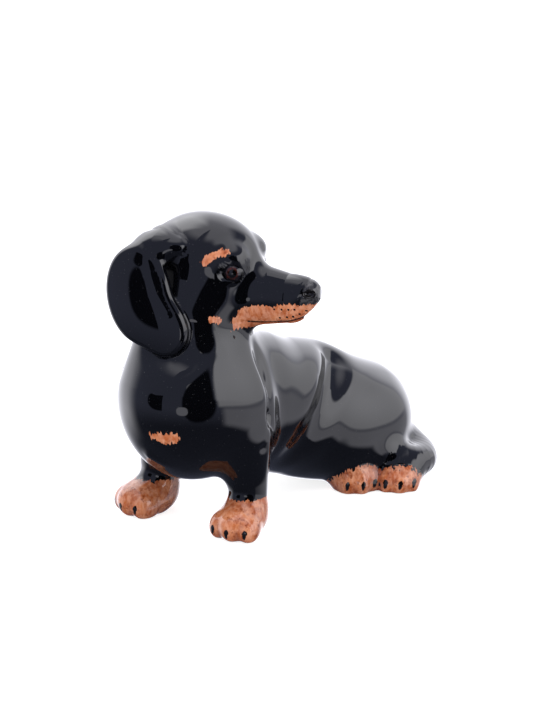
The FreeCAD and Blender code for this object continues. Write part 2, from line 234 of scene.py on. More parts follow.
def blend(a, b, reach):
    """Union of two masses, its crease filled by (reach - |a - b|) squared over four times the reach."""
    gap = np.maximum(reach - np.abs(a - b), 0.0)
    return np.minimum(a, b) - gap * gap / (4.0 * reach)


def cut(a, b, reach):
    """The first mass with the second carved out of it, the edge eased."""
    return -blend(-a, b, reach)


def bell(distance, width):
    """1 on a line and falling off on both sides: e to the minus distance over width, squared."""
    return np.exp(-(distance / width) ** 2)


def upright(degrees):
    """Axes turned about the upright, as columns."""
    c, s = math.cos(math.radians(degrees)), math.sin(math.radians(degrees))
    return np.array([[c, -s, 0.0], [s, c, 0.0], [0.0, 0.0, 1.0]])


SHOULDER_CREASE = ((25, 20, 90), (25.5, 17.5, 78), (28, 16, 66), (31, 15.5, 56), (32, 17.5, 46), (30, 19, 36))
ELBOW_FOLD = ((31, 15.5, 56), (33, 11.5, 47), (34, 10, 43))
WAIST_CREASE = ((15, 80, 64), (23, 69, 56), (27, 60, 46), (28, 51, 36), (27, 44, 26))
UNDER_EARS = ((3.7, -20.5, 91), (-13.6, 38.5, 90))
THROAT = ((16, -21, 88), (22, -16, 92), (28, -6, 97), (27, 6, 99))
THROAT_FOLDS = (((10, -22, 86), (17, -18, 91), (27.6, -6, 98)), ((20, -23, 84), (24, -19, 88), (29, -12, 94)))
RIGHT_CREASE = ((-24, -15, 86), (-23, -19, 74), (-26, -19, 63), (-32, -14, 53))
BREAST_LINE = ((0, -27, 40), (12, -24, 32), (20, -12, 27))


def trunk_mass(p):
    """Chest, ribs, loin, rump, thighs, shoulders, withers and neck, with the body's creases."""
    d = egg(p, (-1, -1, 56), (29, 27, 32))
    d = blend(d, egg(p, (0, 34, 51), (28, 40, 33)), 14)
    d = blend(d, egg(p, (1, 70, 41), (26, 36, 33)), 14)
    d = blend(d, egg(p, (4, 102, 28), (31, 38, 30)), 16)
    d = blend(d, egg(p, (20, 98, 24), (15, 27, 23)), 8)
    d = blend(d, egg(p, (-12, 104, 20), (18, 28, 20)), 8)
    d = blend(d, egg(p, (22, 10, 52), (12, 15, 24)), 10)
    d = blend(d, egg(p, (-22, 4, 52), (13, 17, 24)), 10)
    d = blend(d, egg(p, (0, 26, 66), (22, 26, 21)), 12)
    d = blend(d, bar(p, (-1, -1, 66), (-2, 5, 98), 28, 24.5), 16)
    d = d + 2.0 * bell(run(p, SHOULDER_CREASE), 3.4) + 1.0 * bell(run(p, ELBOW_FOLD), 2.2)
    d = d + 4.0 * bell(run(p, WAIST_CREASE), 7.5)
    for place in UNDER_EARS:
        d = d + 4.5 * bell(np.linalg.norm(p - place, axis=1), 12.0)
    d = d + 2.4 * bell(run(p, THROAT), 6.0) + 1.3 * bell(run(p, RIGHT_CREASE), 3.2)
    for fold in THROAT_FOLDS:
        d = d + 0.9 * bell(run(p, fold), 2.0)
    return d - 0.8 * bell(run(p, BREAST_LINE), 3.5)


HEAD_AT = np.array([3.0, 12.0, 125.0])
HEAD_TURN = math.radians(108.0)
FORWARD = np.array([math.sin(HEAD_TURN), -math.cos(HEAD_TURN), 0.0])
LEFT = np.array([math.cos(HEAD_TURN), math.sin(HEAD_TURN), 0.0])
UP = np.array([0.0, 0.0, 1.0])
HEAD_AXES = np.column_stack([FORWARD, LEFT, UP])
EYE_AT = np.array([15.4, 11.6, -2.8])
EYE_RADIUS = 4.9
EYE_LOOK = np.array([0.33, 1.0, 0.04]) / math.sqrt(0.33 ** 2 + 1.0 + 0.04 ** 2)
NOSTRIL = (49.0, 5.6, -11.0)
MOUTH = ((17, -25.6), (25, -26.2), (33, -25.6), (39, -24.4), (45, -22.4), (49, -20))


def to_head(p):
    """The head's own axes: forward, to its left and up, from the middle of the skull."""
    return (p - HEAD_AT) @ HEAD_AXES


def mouth_line(q):
    """Distance to the lips' meeting line, seen from the side."""
    flat = np.column_stack([q[:, 0], np.zeros(len(q)), q[:, 2]])
    return run(flat, [(f, 0.0, u) for f, u in MOUTH])


def head_mass(p):
    """Skull, jaw, muzzle, nose and brows; lids round the eyes; nostrils and mouth carved in."""
    q = to_head(p)
    q[:, 1] = np.abs(q[:, 1])
    d = egg(q, (-4, 0, 0), (26, 21, 20))
    d = blend(d, egg(q, (3, 0, -12), (19, 18, 17)), 8)
    slim = q * (1.0, 1.35, 1.0)
    muzzle = bar(slim, (19, 0, -14.8), (37, 0, -15.2), 14.6, 11.2)
    muzzle = blend(muzzle, egg(slim, (44.6, 0, -11.6), (7.6, 8.6, 6.6)), 4)
    d = blend(d, muzzle, 6)
    d = blend(d, egg(q, (13, 10.5, 2.5), (8, 7, 7)), 4)
    d = d + 1.3 * bell(np.sqrt(((q - (21.5, 12.5, -9)) ** 2).sum(1)), 5.5)
    rel = q - EYE_AT
    out = rel @ EYE_LOOK
    across = rel @ np.array([EYE_LOOK[1], -EYE_LOOK[0], 0.0])
    rise = rel[:, 2] - out * EYE_LOOK[2]
    dish = np.column_stack([out - 3.8, across, rise])
    d = cut(d, egg(dish, (0, 0, 0), (2.4, 6.8, 5.0)), 1.6)
    ring = np.hypot((across + 0.5) / 1.32, rise)
    lid = np.hypot(ring - 4.2, out - 2.6 - 0.05 * rise) - 0.85 - 0.06 * rise
    d = blend(d, lid, 2.4)
    d = cut(d, egg(q, NOSTRIL, (2.5, 1.9, 1.4)), 1.0)
    pad = np.clip((q[:, 2] + 19.0) / 3.0, 0.0, 1.0) * np.clip((q[:, 0] - 40.0) / 2.0, 0.0, 1.0)
    d = d + 0.2 * bell(q[:, 0] - 45.6 - 0.25 * (q[:, 2] + 11.0), 0.9) * pad
    front = np.clip((q[:, 0] - 46.0) / 3.0, 0.0, 1.0) * np.clip((-11.0 - q[:, 2]) / 2.0, 0.0, 1.0)
    d = d + 0.5 * bell(q[:, 1], 0.8) * front
    return d + 0.7 * bell(mouth_line(q), 0.8) * np.clip((q[:, 0] - 15.0) / 3.0, 0.0, 1.0)


def ear_axes(side):
    """The flap's axes in the head's: across, out through it, and up along it, as columns."""
    c, s = math.cos(math.radians(17.0)), math.sin(math.radians(17.0))
    forward, up, out = np.array([c, 0.0, s]), np.array([-s, 0.0, c]), np.array([0.0, side, 0.0])
    c, s = math.cos(math.radians(10.0)), math.sin(math.radians(10.0))
    return np.column_stack([forward, c * out + s * up, c * up - s * out])


EAR_AT = (-19.8, 26.5, -14.0)
EAR_ROUND = 2.4        # radius of the flap's rounded edge
EAR_FOLD = ((7.4, 4.0, 20), (7.0, 4.2, 9), (8.0, 4.2, 0), (10.6, 3.6, -9))


def ear_reach(p):
    """The ear's root flows into the skull at the top and back; its front and lower edges stand free."""
    q = to_head(p)
    return 1.4 + 9.6 * np.clip((q[:, 2] + 6.0) / 16.0, 0.0, 1.0) * np.clip((-7.0 - q[:, 0]) / 11.0, 0.0, 1.0)


def ear_mass(p, side):
    """A slab with rounded edges inside a two-egg outline, domed outwards, hollowed behind its front rim."""
    q = to_head(p)
    rel = (q - (EAR_AT[0], side * EAR_AT[1], EAR_AT[2])) @ ear_axes(side)
    face = rel * (1.0, 0.0, 1.0)
    outline = blend(egg(face, (-3, 0, 1), (16.5, 1, 22)), egg(face, (6, 0, -16), (11, 1, 12.5)), 7)
    dome = 3.0 * (1.0 - np.minimum((rel[:, 0] / 19.0) ** 2 + (rel[:, 2] / 25.5) ** 2, 1.3))
    edge, thick = outline + EAR_ROUND, np.abs(rel[:, 1] - dome) - 0.4
    blade = np.hypot(np.maximum(edge, 0.0), np.maximum(thick, 0.0))
    blade = blade + np.minimum(np.maximum(edge, thick), 0.0) - EAR_ROUND
    blade = blade + 0.7 * bell(run(rel, EAR_FOLD), 2.6)
    return blend(blade, egg(q, (-16, side * 17, 7), (13, 8, 7)), 7)


# paws: middle, half sizes, turn, and the toes' places across
FRONT_TOES = ((-7.2, -6.6, -1.5), (0.3, -8.6, -0.8), (7.6, -6.4, -1.5))
LEFT_FORE = dict(knee=((23, 12, 45), (23, 13, 14)), thick=(10.5, 8.7), middle=(24, 7, 7),
                 half=(11, 14.5, 9), turn=15.0, toes=FRONT_TOES, toe=(4.5, 6.4, 6.0))
RIGHT_FORE = dict(knee=((-26, 6, 45), (-27, 7, 14)), thick=(11, 8.7), middle=(-29, 0, 7),
                  half=(11.5, 15, 9.5), turn=-10.0, toes=FRONT_TOES, toe=(4.6, 6.6, 6.2))
LEFT_HIND = dict(middle=(22.5, 88, 7.0), half=(12.5, 13, 11.5), turn=45.0, toe=(3.8, 6.0, 6.0),
                 toes=((-3.4, -6.6, -2.0), (3.6, -7.4, -2.0), (9.0, -3.6, -2.0)))
RIGHT_HIND = dict(middle=(38, 103, 5.5), half=(10.5, 12.5, 8.8), turn=45.0, toe=(3.6, 5.6, 5.4),
                  toes=((-6.4, -5.2, -1.5), (0.0, -6.6, -1.5), (6.4, -4.6, -1.5)))


def in_paw(p, paw):
    """A paw's own axes: across it, back towards the heel, and up."""
    return (p - paw["middle"]) @ upright(paw["turn"])


def paw_mass(p, paw):
    """A rounded paw with three soft toes, and for a foreleg the leg that stands on it."""
    q = in_paw(p, paw)
    d = egg(q, (0, 0, 0), paw["half"])
    for toe in paw["toes"]:
        d = blend(d, egg(q, toe, paw["toe"]), 2.6)
    if "knee" in paw:
        d = blend(d, bar(p, *paw["knee"], *paw["thick"]), 6)
    return d


TAIL = ((4, 122, 13), (17, 128, 11.5), (29, 127.5, 10), (38, 121, 10), (41, 112, 12), (37, 103, 15.5),
        (30.5, 96.5, 17.5))


def eased(points, count):
    """A smooth line through the points: each run is a cubic whose slope is half its neighbours' gap."""
    points = np.array(points, float)
    padded = np.vstack([2 * points[0] - points[1], points, 2 * points[-1] - points[-2]])
    stops = np.linspace(0.0, len(points) - 1.0, count)
    first = np.minimum(stops.astype(int), len(points) - 2)
    t = (stops - first)[:, None]
    a, b, c, d = (padded[first + i] for i in range(4))
    return b + 0.5 * t * (c - a + t * (2 * a - 5 * b + 4 * c - d + t * (3 * (b - c) + d - a)))


TAIL_LINE = eased(TAIL, 19)
TAIL_THICK = 11.0 - 7.8 * np.linspace(0.0, 1.0, 19) ** 1.3


def tail_mass(p):
    """Round bars end to end along a smooth line, tapering to the tip."""
    d = None
    for i in range(18):
        piece = bar(p, TAIL_LINE[i], TAIL_LINE[i + 1], TAIL_THICK[i], TAIL_THICK[i + 1])
        d = piece if d is None else blend(d, piece, 1.5)
    return d


# luted pieces: their mass, how widely the crease round them is filled, and the most it can be
LUTED = {
    "left_foreleg": (lambda p: paw_mass(p, LEFT_FORE), 7.0, 7.0),
    "right_foreleg": (lambda p: paw_mass(p, RIGHT_FORE), 7.0, 7.0),
    "left_hind_paw": (lambda p: paw_mass(p, LEFT_HIND), 3.0, 3.0),
    "right_hind_paw": (lambda p: paw_mass(p, RIGHT_HIND), 3.0, 3.0),
    "tail": (tail_mass, 9.0, 9.0),
    "left_ear": (lambda p: ear_mass(p, 1), ear_reach, 11.0),
    "right_ear": (lambda p: ear_mass(p, -1), ear_reach, 11.0),
}
SEAM = 94.0            # height of the luted seam between trunk and head
SEAM_LAP = 0.6         # how far each of the two keeps its skin past the seam
SEAM_FILL = 8.0        # how widely the seam is smoothed over
HELD = 0.5             # how far a casting keeps the skin beyond the filled crease at its edge
HELD_BY_EAR = 0.4
WIDEST_FILL = 11.0
TRUNK_TOP, HEAD_BOTTOM = 130.0, SEAM - 16.0
BOXES = {}
for name in LUTED:
    low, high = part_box(name)
    BOXES[name] = (np.array(low) / MM - SHIFT - 12.0, np.array(high) / MM - SHIFT + 12.0)


def masked(p, near, mass):
    """A mass worked out only where it is near, and far away elsewhere."""
    value = np.full(len(p), FAR)
    if near.any():
        value[near] = mass(p[near])
    return value


def original(p):
    """The whole dog's distance at each point, and each piece's own."""
    core = masked(p, p[:, 2] < TRUNK_TOP, trunk_mass)
    head = masked(p, p[:, 2] > HEAD_BOTTOM, head_mass)
    core = blend(core, head, SEAM_FILL)
    own = {"trunk": core, "head": core}
    whole = core
    for name, (mass, reach, _) in LUTED.items():
        low, high = BOXES[name]
        own[name] = masked(p, np.all((p > low) & (p < high), axis=1), mass)
        whole = blend(whole, own[name], reach(p) if callable(reach) else reach)
    return whole, own


def casting(p, name):
    """The original's skin where the piece has it; beyond that it dives by half the square of the way."""
    whole, own = original(p)
    # a filled crease stands out from both masses by up to a quarter of its reach
    margin = (LUTED[name][2] if name in LUTED else WIDEST_FILL) / 4.0 + HELD
    by_ear = np.minimum(own["left_ear"], own["right_ear"]) < 6.0
    if by_ear.any():
        margin = np.where(by_ear, ear_reach(p) / 4.0 + HELD_BY_EAR, margin)
    away = np.maximum(own[name] - margin, 0.0)
    if name == "trunk":
        away = np.maximum(away, p[:, 2] - SEAM - SEAM_LAP)
    if name == "head":
        away = np.maximum(away, SEAM - SEAM_LAP - p[:, 2])
    return np.maximum(whole + 0.5 * away ** 2, -p[:, 2])


def skin_along(name, start, direction):
    """Where rays first leave the casting: steps of four fifths of its own distance, then false position."""
    def value_at(reach):
        return casting(start + reach[:, None] * direction, name)

    near = np.zeros(len(start))
    near_value = value_at(near)
    far, far_value = near.copy(), near_value.copy()
    for _ in range(30):
        inside = far_value < 0.0
        if not inside.any():
            break
        near, near_value = np.where(inside, far, near), np.where(inside, far_value, near_value)
        far = np.where(inside, far + np.clip(-0.8 * far_value, 0.25, 6.0), far)
        far_value[inside] = casting(start[inside] + far[inside, None] * direction[inside], name)
    for _ in range(8):
        share = np.clip(near_value / np.minimum(near_value - far_value, -1e-9), 0.0, 1.0)
        middle = near + (far - near) * share
        value = value_at(middle)
        inside = value < 0.0
        far_value = np.where(inside, far_value * 0.5, value)
        far = np.where(inside, far, middle)
        near_value = np.where(inside, value, near_value * 0.5)
        near = np.where(inside, middle, near)
    return start + middle[:, None] * direction


def outward(p, name):
    """Unit normals of a casting: the differences of its distance over a fifth of a millimetre."""
    corners = np.array([(1, 1, 1), (1, -1, -1), (-1, 1, -1), (-1, -1, 1)], float)
    slope = sum(corner * casting(p + 0.1 * corner, name)[:, None] for corner in corners)
    return slope / np.maximum(np.linalg.norm(slope, axis=1), 1e-9)[:, None]


# --- Brush marks --------------------------------------------------------------------------------
# Tan and black are brushed on the biscuit under one clear glaze. A mark is kept as millimetres inside
# its edge at each point, so that the colours meet sharply wherever the mesh's points lie.
BROW = ((5.4, 0, 2.2), (8.0, 0, 4.6), (11.5, 0, 6.4), (14.0, 0, 6.8))
CHEEK_SPOT = ((10.2, 0, -22.8), (12.0, 0, -23.2))
BREAST_SPOTS = (((5.5, -27.5, 53.2), (10, -26.5, 51.8), (14.5, -24, 53.2)), ((-30, -17, 57), (-35, -11, 55)))
WHISKERS = ((33.4, -18.6), (36.8, -18.5), (39.8, -18.3), (42.4, -18.2), (46.7, -19), (35.3, -22.8),
            (38.7, -22.1), (41.3, -21.7), (44.1, -20.4))


def tan_marks(p, own):
    """Millimetres inside the nearest tan mark: lips, brows, cheeks, breast, feet."""
    q = to_head(p)
    q[:, 1] = np.abs(q[:, 1])
    edge = np.interp(q[:, 0], (13, 16.2, 19.1, 25.4, 32, 38.8, 45.5, 52), (-31, -23, -19, -17.4, -17.3, -16,
                                                                          -15.6, -17))
    lips = np.minimum(edge - q[:, 2], (q[:, 0] - 15.5) * 1.2)
    lips = np.minimum(lips, q[:, 2] + 29.0)
    flat = q * (1.0, 0.0, 1.0)
    mark = np.maximum(lips, np.minimum(-run(flat, BROW, 1.5), q[:, 1] - 4.0))
    mark = np.maximum(mark, np.minimum(-run(flat, CHEEK_SPOT, 1.4), q[:, 1] - 4.0))
    for spot in BREAST_SPOTS:
        mark = np.maximum(mark, -run(p, spot, 3.4))
    for name, top in (("left_foreleg", 17.5), ("right_foreleg", 16.5)):
        mark = np.maximum(mark, np.minimum(top - p[:, 2], 3.0 - own[name]))
    for name in ("left_hind_paw", "right_hind_paw"):
        mark = np.maximum(mark, 1.0 - own[name])
    return mark


def black_marks(p):
    """Millimetres inside the nearest black mark: claws, whisker dots, nostrils and lips' line."""
    mark = np.full(len(p), -9.0)
    for paw in (LEFT_FORE, RIGHT_FORE, LEFT_HIND, RIGHT_HIND):
        q = in_paw(p, paw)
        for toe in paw["toes"]:
            across = (q[:, 0] - toe[0] * 1.08) - 0.12 * (p[:, 2] - 5.0)
            long = (p[:, 2] - 5.2) / np.where(p[:, 2] > 5.2, 2.2, 2.6)
            width = np.where(p[:, 2] > 5.2, 1.2, 0.9)
            dab = width * (1.0 - np.sqrt((across / width) ** 2 + long ** 2))
            mark = np.maximum(mark, np.where(q[:, 1] < toe[1] - 0.4 * paw["toe"][1], dab, -9.0))
    q = to_head(p)
    q[:, 1] = np.abs(q[:, 1])
    for f, u in WHISKERS:
        mark = np.maximum(mark, 0.5 - np.hypot(q[:, 0] - f, q[:, 2] - u))
    mark = np.maximum(mark, -egg(q, NOSTRIL, (3.4, 2.8, 1.9)))
    lips = 0.32 - mouth_line(q)
    return np.maximum(mark, np.where((q[:, 0] > 20) & (q[:, 0] < 48) & (q[:, 1] < 13), lips, -9.0))


def nose_mark(p):
    """Millimetres inside the nose leather."""
    q = to_head(p)
    return np.minimum(q[:, 0] - 45.8 - 0.25 * (q[:, 2] + 11.0), q[:, 2] + 18.6)


def closed_skin(name, points, around):
    """A smooth closed mesh from rings of points and one point at each end, its faces turned outwards."""
    rings = (len(points) - 2) // around
    index = 1 + np.arange(rings * around).reshape(rings, around)
    nearer, further = index[:-1], index[1:]
    quads = np.stack([nearer, np.roll(nearer, -1, 1), np.roll(further, -1, 1), further], -1).reshape(-1, 4)
    first, last = index[0], index[-1]
    start = np.stack([np.zeros(around, int), np.roll(first, -1), first], -1)
    end = np.stack([np.full(around, len(points) - 1), last, np.roll(last, -1)], -1)
    corners = points[quads]
    facing = np.cross(corners[:, 2] - corners[:, 0], corners[:, 3] - corners[:, 1])
    if np.einsum("ij,ij->i", facing, corners.mean(1) - points.mean(0)).sum() < 0:
        quads, start, end = quads[:, ::-1], start[:, ::-1], end[:, ::-1]
    mesh = bpy.data.meshes.new(name)
    mesh.from_pydata(((points + SHIFT) * MM).tolist(), [], quads.tolist() + start.tolist() + end.tolist())
    mesh.polygons.foreach_set("use_smooth", np.ones(len(mesh.polygons), bool))
    return mesh


def store(mesh, mark, value):
    """A value at each point, for the glaze to read."""
    layer = mesh.attributes.new(mark, "FLOAT", "POINT")
    layer.data.foreach_set("value", value.astype(np.float32))


def make_piece(name, node_name, points, around):
    """A closed skin with the casting's own normals and its brush marks."""
    mesh = closed_skin(name, points, around)
    own = original(points)[1]
    normals = outward(points, node_name)
    hollow = (1.4 - original(points + 1.4 * normals)[0]) / 1.4
    marks = {"tan": tan_marks(points, own), "black": black_marks(points), "nose": nose_mark(points),
             "hollow": hollow}
    for mark, value in marks.items():
        store(mesh, mark, np.clip(value, -20.0, 20.0))
    mesh.normals_split_custom_set_from_vertices(normals.tolist())
    piece = bpy.data.objects.new(name, mesh)
    bpy.context.scene.collection.objects.link(piece)
    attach(piece, "root")
    return piece


def take_mould(name, node_name, middles, outs, side, ends, around):
    """A casting: at each middle a fan of rays, cos t times side plus sin t times out, meets the skin."""
    t = np.arange(around) * 2.0 * math.pi / around
    rays = np.cos(t)[None, :, None] * side[:, None, :] + np.sin(t)[None, :, None] * outs[:, None, :]
    rays = rays / np.linalg.norm(rays, axis=2)[:, :, None]
    starts = np.repeat(middles, around, axis=0)
    skin = skin_along(node_name, starts, rays.reshape(-1, 3))
    poles = skin_along(node_name, middles[[0, -1]], np.array(ends, float))
    piece = make_piece(name, node_name, np.vstack([poles[:1], skin, poles[1:]]), around)
    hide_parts(node_name)
    return piece


FINE = 1.0


# --- Glazed finishes ----------------------------------------------------------------------------
# Underglaze colours under a thick clear gloss. The black is solid; the tan is washed on in pale,
# orange and red-brown coats and made darker red-brown in the hollows; the clear glaze has a slight orange peel.
def group(name, inputs, outputs):
    """An empty shader node group with named sockets."""
    made = bpy.data.node_groups.new(name, "ShaderNodeTree")
    for label, kind, value in inputs:
        socket = made.interface.new_socket(label, in_out="INPUT", socket_type=kind)
        socket.default_value = value
    for label, kind in outputs:
        made.interface.new_socket(label, in_out="OUTPUT", socket_type=kind)
    return made, made.nodes.new("NodeGroupInput"), made.nodes.new("NodeGroupOutput")


def speckle(tree, scale, detail=2.0, stretch=(1.0, 1.0, 1.0), rough=0.5):
    """Noise in the object's own metres, drawn out along an axis by a Mapping node."""
    place = tree.nodes.new("ShaderNodeTexCoord").outputs["Object"]
    drawn = node(tree, "ShaderNodeMapping", Vector=place, Scale=stretch)
    return node(tree, "ShaderNodeTexNoise", Vector=drawn.outputs[0], Scale=scale, Detail=detail,
                Roughness=rough).outputs["Fac"]


def mark_value(tree, name):
    """A brush mark's millimetres at this point."""
    layer = tree.nodes.new("ShaderNodeAttribute")
    layer.attribute_name = name
    return layer.outputs["Fac"]


NUMBER = "NodeSocketFloat"
bristle, given, result = group("bristle_edge", [("Inside", NUMBER, 0.0), ("Reach", NUMBER, 1.0),
                                                ("Softness", NUMBER, 0.15)], [("Mask", NUMBER)])
hairs = speckle(bristle, 900.0, 2.0, (1.0, 1.0, 0.22))
wander = speckle(bristle, 260.0, 1.0)
push = maths(bristle, "ADD", maths(bristle, "MULTIPLY", maths(bristle, "SUBTRACT", hairs, 0.5), 4.2),
             maths(bristle, "MULTIPLY", maths(bristle, "SUBTRACT", wander, 0.5), 1.6))
push = maths(bristle, "MULTIPLY", push, given.outputs["Reach"])
inside = maths(bristle, "ADD", given.outputs["Inside"], push)
softness = given.outputs["Softness"]
bristle.links.new(ramp_between(bristle, inside, maths(bristle, "MULTIPLY", softness, -1.0), softness),
                  result.inputs["Mask"])

wash, given, result = group("tan_wash", [("Hollow", NUMBER, 0.0), ("Depth", NUMBER, 1.0)],
                            [("Color", "NodeSocketColor")])
patches = ramp_between(wash, speckle(wash, 190.0, 4.0, rough=0.62), 0.34, 0.66)
streaks = ramp_between(wash, speckle(wash, 520.0, 3.0, (1.0, 1.0, 0.35), 0.6), 0.36, 0.70)
blots = ramp_between(wash, speckle(wash, 330.0, 5.0, rough=0.7), 0.51, 0.68)
tone = mixed(wash, patches, (0.37, 0.088, 0.023, 1.0), (0.55, 0.205, 0.095, 1.0))
tone = mixed(wash, maths(wash, "MULTIPLY", streaks, 0.50), tone, (0.70, 0.36, 0.24, 1.0))
tone = mixed(wash, maths(wash, "MULTIPLY", blots, 0.85), tone, (0.20, 0.040, 0.010, 1.0))
# darker red-brown where the skin is hollow, as measured by the shape's distance a little way out from the skin
darker_in_hollows = ramp_between(wash, maths(wash, "ADD", given.outputs["Hollow"],
                      maths(wash, "MULTIPLY", maths(wash, "SUBTRACT", speckle(wash, 420.0, 3.0), 0.5), 0.5)),
                      -0.02, 0.45)
tone = mixed(wash, maths(wash, "MULTIPLY", darker_in_hollows, given.outputs["Depth"]), tone, (0.16, 0.030, 0.010, 1.0))
wash.links.new(tone, result.inputs["Color"])

gloss, given, result = group("glaze_surface", [("Peel", NUMBER, 1.0)], [("Height", NUMBER), ("Specks", NUMBER)])
slow = speckle(gloss, 75.0, 1.0)
fine = maths(gloss, "MULTIPLY", speckle(gloss, 620.0, 1.0), 0.05)
specks = ramp_between(gloss, speckle(gloss, 1500.0, 0.0), 0.80, 0.83)
height = maths(gloss, "ADD", maths(gloss, "MULTIPLY", maths(gloss, "ADD", slow, fine), given.outputs["Peel"]),
               maths(gloss, "MULTIPLY", specks, -0.15))
gloss.links.new(height, result.inputs["Height"])
gloss.links.new(specks, result.inputs["Specks"])


def put(tree, shared, **inputs):
    """A node group placed in a material with its own values."""
    made = tree.nodes.new("ShaderNodeGroup")
    made.node_tree = shared
    for name, value in inputs.items():
        if isinstance(value, bpy.types.NodeSocket):
            tree.links.new(value, made.inputs[name])
        else:
            made.inputs[name].default_value = value
    return made


def glazed(name, colour_of, roughness=0.6, base_gloss=0.0):
    """A painted biscuit under a clear coat."""
    finish = bpy.data.materials.new(name)
    finish.use_nodes = True
    tree = finish.node_tree
    tree.nodes.clear()
    surface = put(tree, gloss, Peel=1.0)
    relief = node(tree, "ShaderNodeBump", Strength=1.0, Distance=0.000025, Height=surface.outputs["Height"])
    body = node(tree, "ShaderNodeBsdfPrincipled", Base_Color=colour_of(tree, surface), Roughness=roughness,
                Specular_IOR_Level=base_gloss, Coat_Weight=1.0, Coat_Roughness=0.018, Coat_IOR=1.5,
                Normal=relief.outputs[0], Coat_Normal=relief.outputs[0])
    node(tree, "ShaderNodeOutputMaterial", Surface=body.outputs[0])
    return finish


def coat_colour(tree, surface):
    """Black, with tan brushed over it, the black marks over that, and the nose leather a paler mottled grey,
    partly its own tone and partly painted sheen.
    """
    black = mixed(tree, surface.outputs["Specks"], (0.0012, 0.0013, 0.0020, 1.0), (0.02, 0.02, 0.022, 1.0))
    # the nose leather: a pale grey mottle, partly its own tone and partly painted sheen where its rim catches
    # the light
    nose_grey_and_sheen = mixed(tree, ramp_between(tree, speckle(tree, 700.0, 3.0), 0.35, 0.7),
                    (0.012, 0.012, 0.014, 1.0), (0.055, 0.053, 0.056, 1.0))
    black = mixed(tree, ramp_between(tree, mark_value(tree, "nose"), -0.3, 0.5), black, nose_grey_and_sheen)
    tan = put(tree, wash, Hollow=mark_value(tree, "hollow"), Depth=0.85)
    spread = put(tree, bristle, Inside=mark_value(tree, "tan"), Reach=0.95, Softness=0.16)
    dabs = put(tree, bristle, Inside=mark_value(tree, "black"), Reach=0.12, Softness=0.10)
    colour = mixed(tree, spread.outputs["Mask"], black, tan.outputs["Color"])
    return mixed(tree, dabs.outputs["Mask"], colour, (0.004, 0.003, 0.003, 1.0))


black_glaze = glazed("black_glaze", coat_colour)
tan_glaze = glazed("tan_glaze", coat_colour)


# --- Trunk --------------------------------------------------------------------------------------
# The body is slip-cast in a two-part mould, 4 mm thick and hollow, with chest, shoulders, haunches
# and the stump of the neck in one. The moulds' seams are sponged away and the whole is glazed black.
def swing(degrees):
    """Cosine and sine of a run of angles as columns."""
    t = np.radians(degrees)
    return np.cos(t)[:, None], np.sin(t)[:, None]


def closing(count, angle=86.0):
    """Shares of a run whose slices close up towards its rounded end: sines of even angles."""
    return np.sin(np.radians(angle * (np.arange(count) + 1) / count))[:, None]


AHEAD, ASIDE = np.array([0.0, 1.0, 0.0]), np.array([1.0, 0.0, 0.0])
hinge = np.array([0.0, 46.0, SEAM])
c, s = swing(np.linspace(-7.0, 90.0, int(150 * FINE)))
fan_outs = -c * AHEAD - s * UP
fan_middles = hinge + fan_outs * (46.0 - 6.0 * s)
share = closing(int(170 * FINE))
run_middles = np.hstack([2.0 * share, 46.0 + 93.5 * share, 51.0 - 23.0 * share])
middles = np.vstack([fan_middles, run_middles])
outs = np.vstack([fan_outs, np.tile(-UP, (len(share), 1))])
trunk = take_mould("trunk_casting", "trunk", middles, outs, np.tile(ASIDE, (len(middles), 1)),
                   (UP, AHEAD), int(280 * FINE))
trunk.data.materials.append(black_glaze)


# --- Head ---------------------------------------------------------------------------------------
# Skull, jaw and muzzle are a second hollow casting, luted on the neck with slip and turned over the
# left shoulder. The lips, brows and cheeks are brushed tan; the nostrils and mouth are cut by hand.
throat = np.array([23.0, 0.0, SEAM - HEAD_AT[2]])
c, s = swing(np.linspace(-8.0, 90.0, int(140 * FINE)))
local = throat + np.hstack([-c, np.zeros_like(c), s]) * (29.0 - 13.0 * s)
local = local + np.hstack([0 * c, -6.0 * c, 0 * c])
fan_middles = HEAD_AT + local @ HEAD_AXES.T
fan_outs = -c * FORWARD + s * UP
share = closing(int(180 * FINE), 87.0)
local = np.hstack([23.0 + 28.6 * share, 0.0 * share, -13.3 + 0.0 * share])
run_middles = HEAD_AT + local @ HEAD_AXES.T
middles = np.vstack([fan_middles, run_middles])
outs = np.vstack([fan_outs, np.tile(UP, (len(share), 1))])
head = take_mould("head_casting", "head", middles, outs, np.tile(LEFT, (len(middles), 1)),
                  (-UP, FORWARD), int(290 * FINE))
head.data.materials.append(black_glaze)


# --- Ears ---------------------------------------------------------------------------------------
# Each ear is a solid flap pressed in a small mould, hollowed behind its front rim, and luted on beside
# the skull behind the eye. It hangs clear of the cheek.
for side, ear_node in ((1, "left_ear"), (-1, "right_ear")):
    stops = np.array([(5.6, -0.9, -28.0), (5.0, 1.3, -19), (1.5, 2.6, -7), (-2.0, 2.8, 4), (-2.0, 2.0, 14)])
    blade = np.array([EAR_AT[0], side * EAR_AT[1], EAR_AT[2]]) + eased(stops, 400) @ ear_axes(side).T
    root = np.array([-16.0, side * 17.0, 7.0])
    share = (1.0 - np.cos(np.radians(np.linspace(3.0, 120.0, int(160 * FINE))))) / 1.5
    blade = blade[np.round(share * 399).astype(int)]
    rest = np.linspace(0.02, 1.0, int(50 * FINE))[:, None]
    local = np.vstack([blade, blade[-1] + (root - blade[-1]) * rest, root + np.outer(rest[:, 0] * 5.5, UP)])
    ear_middles = HEAD_AT + local @ HEAD_AXES.T
    count = len(ear_middles)
    ear = take_mould(ear_node + "_flap", ear_node, ear_middles, np.tile(1.6 * FORWARD, (count, 1)),
                     np.tile(0.7 * LEFT, (count, 1)), (-UP, UP), int(200 * FINE))
    ear.data.materials.append(black_glaze)
